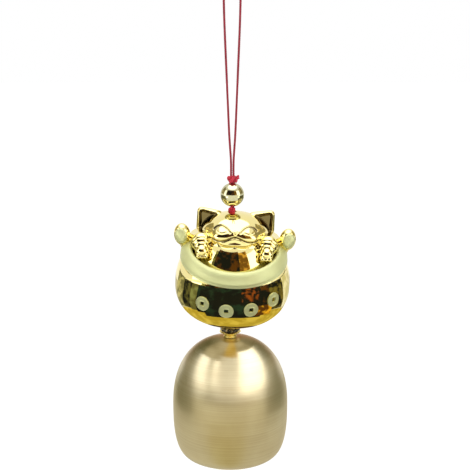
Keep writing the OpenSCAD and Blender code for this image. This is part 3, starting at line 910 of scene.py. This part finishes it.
def coin_points(turn, row_z, rings=26, sides=72):
    points = []
    for layer in (1, 0):
        for i in range(rings + 1):
            share = i / rings
            for k in range(sides):
                a = 2 * math.pi * k / sides
                inner = coin_hole / max(abs(math.cos(a)), abs(math.sin(a)))
                r = inner + (coin_r - inner) * share
                u, v = r * math.cos(a), r * math.sin(a)
                edge_drop = min(1.0, share / 0.04, (1 - share) / 0.04)
                h = coin_section(share) * math.sqrt(max(edge_drop, 0.0)) if layer else -coin_sunk
                radial, down = bowl_normal(bowl_side(row_z), row_z)
                z = row_z + v * radial
                side = bowl_side(z)
                angle = turn + u / side
                radial, down = bowl_normal(side, z)
                out = side + h * radial
                points.append((math.sin(angle) * out, -math.cos(angle) * out, z + h * down))
    return points, two_layers(rings, sides, (0, rings), False)


# %% Lay the coins in their row
coin_count, coin_step, coin_middle, coin_row_z, coin_row_tilt = 4, 24.5, 7, 7.8, 32
for i in range(1, coin_count + 1):
    coin_turn = math.radians(coin_middle + coin_step * (i - (coin_count + 1) / 2))
    row_z = coin_row_z - math.tan(math.radians(coin_row_tilt)) * bowl_r * math.cos(coin_turn)
    points, faces = coin_points(coin_turn, row_z)
    make_piece(f"luck_coin_{i}", hang(points), faces, "figure", "cream_gold", [f"coin_{i}"])

# %% [markdown]
# ## The knot in the head and the cord below it
# A small knot sits in the head's hole and carries the figure. The cord runs on through the bowl,
# the dark neck bead, the cup and the bell's crown, and ends in the crown knot.

# %% Knots and cords on the axis
head_knot_h, neck_bead_h, cup_seat_h, bell_wall = 2.5, 2.8, 1.4, 1.0
washer_t, washer_drop = 0.8, 0.25
head_knot_d, crown_knot_d, axis_knot_cord_d = 2.75, 3.4, 0.95
figure_cord_start, figure_cord_rise, figure_cord_end, neck_cord_start = 2.7, 4, 0.1, 0.2
head_knot_middle = (0, 0, head_knot_top - head_knot_h / 2)
head_knot_size = (head_knot_d, head_knot_h)
knot_piece(
    "head_knot_tied", head_knot_middle, head_knot_size, axis_knot_cord_d, "seat_knot", "head_knot", turn=0.4
)
bowl_low = bowl_z - bowl_depth
bell_x = -bowl_depth * math.sin(roll)
figure_way = [
    (0, 0, head_knot_top - figure_cord_start),
    (bell_x / 2, 0, bowl_z + figure_cord_rise),
    (bell_x, 0, bowl_low + figure_cord_end),
]
points, faces = twisted(figure_way, double_d, double_pitch, step=0.3)
make_piece("cord_in_figure", points, faces, "figure", "red_cord", ["body_cord"])
neck_top = bowl_low - nod_gap
neck_low = neck_top - neck_bead_h
cup_low = neck_low - seat_gap - cup_seat_h
crown_z = cup_low - seat_gap
washer_z = crown_z - bell_wall - washer_drop - washer_t
crown_knot_top = washer_z - seat_gap
neck_way = [(bell_x, 0, neck_top - neck_cord_start), (bell_x, 0, neck_low), (bell_x, 0, crown_knot_top)]
points, faces = twisted(neck_way, double_d, double_pitch)
make_piece("cord_in_neck", points, faces, "neck", "red_cord", ["neck_cord"])

# %% [markdown]
# ## The neck
# Between bowl and bell sit a dark polished bead and a little brass cup with a waist and a foot. The
# bead's near-black also paints the shade in the gap under the bowl, and its golden specks are painted
# glints. The cup's rim is a thin bright line, and its foot rests on the bell.

# %% The dark bead
neck_bead_r, neck_bore_r, neck_bead_turn, neck_bore_inset = 3.4, 1.05, 71, 0.3
neck_bead_radii = (neck_bead_r, neck_bead_h / 2)
outline = arc((0, neck_low + neck_bead_h / 2), neck_bead_radii, -neck_bead_turn, neck_bead_turn, 32)
outline += [(neck_bore_r, neck_low + neck_bead_h - neck_bore_inset), (neck_bore_r, neck_low + neck_bore_inset)]
points, faces = lathe(outline, centre_x=bell_x)
make_piece("dark_neck_bead", points, faces, "neck", "dark_bead", ["neck_bead"])

# %% The brass cup, from its bore round its foot and its rim
cup_outline = [
    (1.1, 0), (2.1, 0), (2.22, 0.05), (2.27, 0.16), (2.22, 0.3), (2.08, 0.42), (1.99, 0.55), (2.05, 0.75),
    (2.3, 1.05), (2.75, 1.4), (3.2, 1.68), (3.5, 1.82), (3.64, 1.9), (3.68, 1.98), (3.64, 2.06),
    (3.52, 2.1), (3.4, 2.06), (3.1, 1.8), (2.4, 1.5), (1.1, 1.4),
]  # fmt: skip
points, faces = lathe([(r, cup_low + z) for r, z in cup_outline], centre_x=bell_x)
make_piece("brass_cup", points, faces, "bell_group", "cup_gold", ["neck_cup"])

# %% [markdown]
# ## The spun bell
# The bell is a thin spun shell: a round crown, nearly straight sides and a mouth that turns in. A
# superellipse quarter gives the spun curve, once for the crown and once for the lip, and the inner
# face follows it a wall's thickness inside.

# %% Spin the bell
bell_r, bell_rise, bell_drop, mouth_r, crown_hole_r = 19.9, 24.4, 17.6, 14.1, 1.1
crown_share, lip_share, bell_steps = 2.35, 2.65, 60
bell_mid = crown_z - bell_rise


def bell_side(inset):
    side = []
    for i in range(bell_steps + 1):
        a = math.radians(90 - 90 * i / bell_steps)
        r, z = math.cos(a) ** (2 / crown_share) if i else 0, math.sin(a) ** (2 / crown_share)
        side.append((max((bell_r - inset) * r, crown_hole_r), bell_mid + (bell_rise - inset) * z))
    for i in range(1, bell_steps + 1):
        a = math.radians(90 * i / bell_steps)
        r, z = math.cos(a) ** (2 / lip_share) if i < bell_steps else 0, math.sin(a) ** (2 / lip_share)
        side.append((mouth_r - inset + (bell_r - mouth_r) * r, bell_mid - bell_drop * z))
    return side


points, faces = lathe(bell_side(0) + bell_side(bell_wall)[::-1], sides=192, centre_x=bell_x)
make_piece("spun_bell", points, [f[::-1] for f in faces], "bell_group", "bell_copper", ["bell"])

# %% [markdown]
# ## Inside the bell
# The photograph doesn't show the inside. Such a bell has a washer and a knot under its crown, and a
# ball clapper on a short cord, so these are here in their usual sizes.

# %% Washer, crown knot and clapper
washer_outline = [(1.1, 0), (2.85, 0), (3.0, 0.15), (3.0, 0.65), (2.85, washer_t), (1.1, washer_t)]
points, faces = lathe([(r, washer_z + z) for r, z in washer_outline], centre_x=bell_x)
make_piece("steel_washer", points, faces, "bell_group", "washer_steel", ["crown_washer"])
crown_knot_h, clapper_r, clapper_reach = 2.4, 4, 26
string_start, clapper_turn, seam_proud, seam_w = 0.3, 83, 0.05, 0.25
clapper_bore_r, clapper_bore_reach = 0.45, 3.9
crown_knot_middle = (bell_x, 0, crown_knot_top - crown_knot_h / 2)
crown_knot_size = (crown_knot_d, crown_knot_h)
knot_piece("crown_knot_tied", crown_knot_middle, crown_knot_size, axis_knot_cord_d, "crown", "crown_knot")
pivot = crown_knot_top - crown_knot_h
clapper_z = pivot - clapper_reach
string_way = [(bell_x, 0, pivot - string_start), (bell_x, 0, clapper_z), (bell_x, 0, clapper_z - clapper_r)]
points, faces = twisted(string_way, cord_d, single_pitch)
make_piece("clapper_string", points, faces, "clapper_group", "red_cord", ["clapper_cord"])
outline = arc((0, clapper_z), (clapper_r, clapper_r), -clapper_turn, clapper_turn, 60)
outline = [(r + seam_proud * math.exp(-(((z - clapper_z) / seam_w) ** 2)), z) for r, z in outline]
outline += [(clapper_bore_r, clapper_z + reach) for reach in (clapper_bore_reach, -clapper_bore_reach)]
points, faces = lathe(outline, centre_x=bell_x)
make_piece("ball_clapper", points, faces, "clapper_group", "clapper_brass", ["clapper"])
clapper_knot_d, clapper_knot_h, clapper_knot_cord_d = 2.2, 1.6, 0.7
knot_place = (bell_x, 0, clapper_z - clapper_r - clapper_knot_h / 2)
knot_size = (clapper_knot_d, clapper_knot_h)
knot_piece("clapper_knot_tied", knot_place, knot_size, clapper_knot_cord_d, "clapper_group", "clapper_knot")

# %% [markdown]
# ## The studio
# A polished thing shows its surroundings, so the studio matters as much as the finish. The floor
# is pale and the world is white. Dark, coloured and bright cards round the chime, which the camera
# doesn't see, give the plating and the bell their reflections.

# %% A white world that metal can see
def seen_as_white(tree):
    seen = tree.nodes.new("ShaderNodeLightPath")
    total = seen.outputs["Is Camera Ray"]
    for ray in ("Is Glossy Ray", "Is Transmission Ray"):
        either = tree.nodes.new("ShaderNodeMath")
        either.operation = "MAXIMUM"
        tree.links.new(total, either.inputs[0])
        tree.links.new(seen.outputs[ray], either.inputs[1])
        total = either.outputs[0]
    return total


world = bpy.data.worlds.new("studio")
bpy.context.scene.world = world
world.use_nodes = True
tree = world.node_tree
tree.nodes.clear()
output = tree.nodes.new("ShaderNodeOutputWorld")
background = tree.nodes.new("ShaderNodeBackground")
strength = tree.nodes.new("ShaderNodeMapRange")
strength.inputs["To Min"].default_value = 0.5
strength.inputs["To Max"].default_value = 1.0
tree.links.new(seen_as_white(tree), strength.inputs["Value"])
tree.links.new(strength.outputs[0], background.inputs["Strength"])
background.inputs["Color"].default_value = (1, 1, 1, 1)
tree.links.new(background.outputs[0], output.inputs[0])

# %% The pale floor
floor_z = -520.0
size = 9000
floor_mesh = bpy.data.meshes.new("pale_floor")
floor_mesh.from_pydata(
    [(x * MM, y * MM, floor_z * MM) for x, y in ((-size, -size), (size, -size), (size, size), (-size, size))],
    [],
    [(0, 1, 2, 3)],
)
pale_floor = bpy.data.objects.new("pale_floor", floor_mesh)
bpy.context.scene.collection.objects.link(pale_floor)
paper = Finish("floor_paper")
white_share = Value(paper, seen_as_white(paper.material.node_tree))
paper.finish(
    Base_Color=paper.mix(paper.noise(400, 2), (0.86, 0.86, 0.86), (0.92, 0.92, 0.92)),
    Roughness=0.9,
    Emission_Color=paper.mix(white_share, (0.0, 0.0, 0.0), (0.6, 0.6, 0.6)),
    Emission_Strength=1.0,
)
floor_mesh.materials.append(paper.material)

# %% Cards and softboxes that only reflections see
def card(name, turns, low, high, dull, patch, size_mm, strength=1.0, one_side=False):
    """A band round the axis: turns in degrees from the front, low and high as radius and height in mm."""
    points, steps = [], 24
    for i in range(steps + 1):
        a = math.radians(turns[0] + (turns[1] - turns[0]) * i / steps)
        points += [(math.sin(a) * r * MM, -math.cos(a) * r * MM, h * MM) for r, h in (low, high)]
    faces = [(2 * i, 2 * i + 2, 2 * i + 3, 2 * i + 1) for i in range(steps)]
    mesh = bpy.data.meshes.new(name)
    mesh.from_pydata(points, [], faces)
    glow = Finish(name)
    glow.finish(
        Base_Color=(0.0, 0.0, 0.0),
        Specular_IOR_Level=0.0,
        Emission_Color=glow.ramp(glow.noise(size_mm, 3), [(0.47, dull), (0.62, patch)]),
        Emission_Strength=strength,
        Alpha=1.0 - glow.node("ShaderNodeNewGeometry", output="Backfacing") if one_side else 1.0,
    )
    mesh.materials.append(glow.material)
    thing = bpy.data.objects.new(name, mesh)
    bpy.context.scene.collection.objects.link(thing)
    thing.visible_camera = thing.visible_diffuse = thing.visible_shadow = thing.visible_transmission = False


soot, bark, moss = (0.012, 0.014, 0.016), (0.11, 0.045, 0.012), (0.13, 0.13, 0.06)
pine, white = (0.02, 0.045, 0.04), (1.0, 1.0, 1.0)
rosy, olive, stone = (0.40, 0.22, 0.13), (0.30, 0.27, 0.17), (0.95, 0.95, 0.9)
card("card_front", (-54, 18), (420, -149), (420, 400), soot, bark, 120)
card("card_brown", (18, 46), (425, -149), (425, 360), (0.2, 0.10, 0.02), (0.75, 0.42, 0.08), 90)
card("card_gold", (-62, -54), (425, -149), (425, 330), moss, (0.42, 0.42, 0.18), 60)
# The trays are seen from above only, so by the bowl, and the tents from below only, so by the bell,
# because each shows one side and is clear from the other. They are glowing sheets close to the chime
# that paint reflections: the trays paint the patches on the bowl's lower side, tray_gold among them
# the bell's golden reflection, and the tents paint the streak, bands and highlights on the bell's
# crown and shoulder, where the bowl and the studio are mirrored.
tray_low, tray_r, tray_slope, tray_outer, tray_grain, tent_z = -113.5, 20, 0.47, 60, 9, -114.4


def tray(name, turns, inner, dull, patch):
    places = [(r, tray_low + (r - tray_r) * tray_slope) for r in (tray_outer, inner)]
    card(name, turns, *places, dull, patch, tray_grain, 1.0, True)


def tent(name, turns, inner, outer, dull, patch, size_mm, strength=1.0):
    card(name, turns, (inner, tent_z), (outer, tent_z), dull, patch, size_mm, strength, True)


tray("tray_front", (-44, 46), 20, soot, pine)
tray("tray_left", (-58, -44), 23, soot, pine)
tray("tray_right", (46, 62), 23, soot, bark)
tray("tray_olive", (-72, -58), 24, moss, (0.26, 0.30, 0.16))
tray("tray_side_left", (-92, -72), 25, soot, moss)
tray("tray_far_left", (-118, -92), 25, (0.2, 0.2, 0.12), (0.6, 0.58, 0.36))
tray("tray_side_right", (62, 96), 25, soot, (0.2, 0.17, 0.05))
tray("tray_far_right", (96, 130), 25, (0.7, 0.68, 0.5), white)
card("tray_red", (14, 42), (60, -93.5), (36, -105), soot, (0.3, 0.08, 0.02), 5, 1.0, True)
card("tray_orange", (34, 64), (30, -107.8), (21, -112.4), bark, (0.9, 0.5, 0.04), 5, 1.0, True)
card("tray_gold", (-180, 180), (27, -113.8), (9, -113.8), (0.52, 0.40, 0.06), (0.74, 0.6, 0.14), 6, 1.0, True)
card("tray_ring", (-180, 180), (9, -113.8), (6.5, -113.8), soot, bark, 6, 1.0, True)
card("patch_left", (-60, -42), (62, -91), (62, -76), white, white, 9, 4.0)
card("patch_right", (54, 72), (62, -91), (62, -78), (0.9, 0.9, 0.7), white, 9, 3.0)
card("shelf", (-62, 62), (420, -50), (21, -92.5), (0.9, 0.9, 0.8), white, 20, 1.3, True)
tent("tent_streak", (-18, 14), 3, 12, (0.62, 0.42, 0.08), (0.8, 0.6, 0.2), 8)
tent("tent_crown_left", (-74, -18), 3, 15, (0.42, 0.38, 0.25), (0.6, 0.55, 0.4), 8)
tent("tent_crown_right", (14, 72), 3, 9, (0.42, 0.38, 0.25), (0.6, 0.55, 0.4), 8)
tent("tent_middle", (-24, 16), 12, 420, (0.88, 0.87, 0.82), white, 12)
tent("tent_thin", (-34, -24), 15, 60, white, white, 12, 1.9)
tent("tent_thin_low", (-34, -24), 60, 420, (0.8, 0.8, 0.74), white, 12)
tent("tent_dim", (-46, -34), 15, 420, (0.5, 0.48, 0.38), (0.6, 0.58, 0.46), 12)
tent("tent_left", (-74, -46), 15, 90, white, white, 12, 1.8)
tent("tent_left_low", (-74, -46), 90, 420, stone, white, 12, 1.1)
tent("tent_right", (16, 72), 9, 100, white, white, 12, 2.2)
tent("tent_right_low", (16, 72), 100, 420, stone, white, 12, 1.2)
tent("tent_flank_left", (-135, -74), 3, 420, moss, olive, 20)
tent("tent_flank_right", (72, 135), 3, 420, moss, olive, 20)
tent("tent_back", (135, 225), 0.5, 420, rosy, (0.5, 0.33, 0.2), 30)
card("low_front", (-74, 72), (425, -330), (425, -150), (0.62, 0.58, 0.42), (0.85, 0.82, 0.66), 60)
card("low_left", (-135, -74), (425, -300), (425, -110), moss, olive, 60)
card("low_right", (72, 135), (425, -300), (425, -110), moss, olive, 60)
card("softbox_left", (-86, -62), (430, -120), (430, 260), white, white, 90, 2.4)
card("softbox_far_left", (-130, -86), (430, -50), (430, 330), olive, (0.75, 0.6, 0.3), 90, 1.0)
card("softbox_right", (46, 80), (430, -120), (430, 260), white, white, 90, 2.4)
card("softbox_far_right", (80, 130), (430, -50), (430, 330), olive, (0.75, 0.6, 0.3), 90, 1.0)
card("softbox_top", (-180, 180), (260, 330), (1, 330), white, white, 90, 2.8)
card("card_table", (-45, 30), (1, -430), (1500, -430), (0.58, 0.53, 0.31), (0.5, 0.40, 0.14), 160)
card("card_table_side", (30, 315), (1, -430), (1500, -430), (0.62, 0.60, 0.50), (0.72, 0.69, 0.56), 160)

# %% Soft lamps
def lamp(name, place, aim, size_mm, watts):
    light = bpy.data.lights.new(name, "AREA")
    light.shape, light.size, light.energy = "SQUARE", size_mm * MM, watts
    thing = bpy.data.objects.new(name, light)
    thing.location = [v * MM for v in place]
    direction = Vector([(a - b) * MM for a, b in zip(aim, place)])
    thing.rotation_euler = direction.to_track_quat("-Z", "Y").to_euler()
    bpy.context.scene.collection.objects.link(thing)


lamp("lamp_left", (-430, -260, 40), (0, 0, -110), 300, 0.9)
lamp("lamp_right", (430, -280, 30), (0, 0, -110), 300, 0.8)
lamp("lamp_top", (0, -60, 420), (0, 0, -90), 260, 0.6)
print("studio ready")
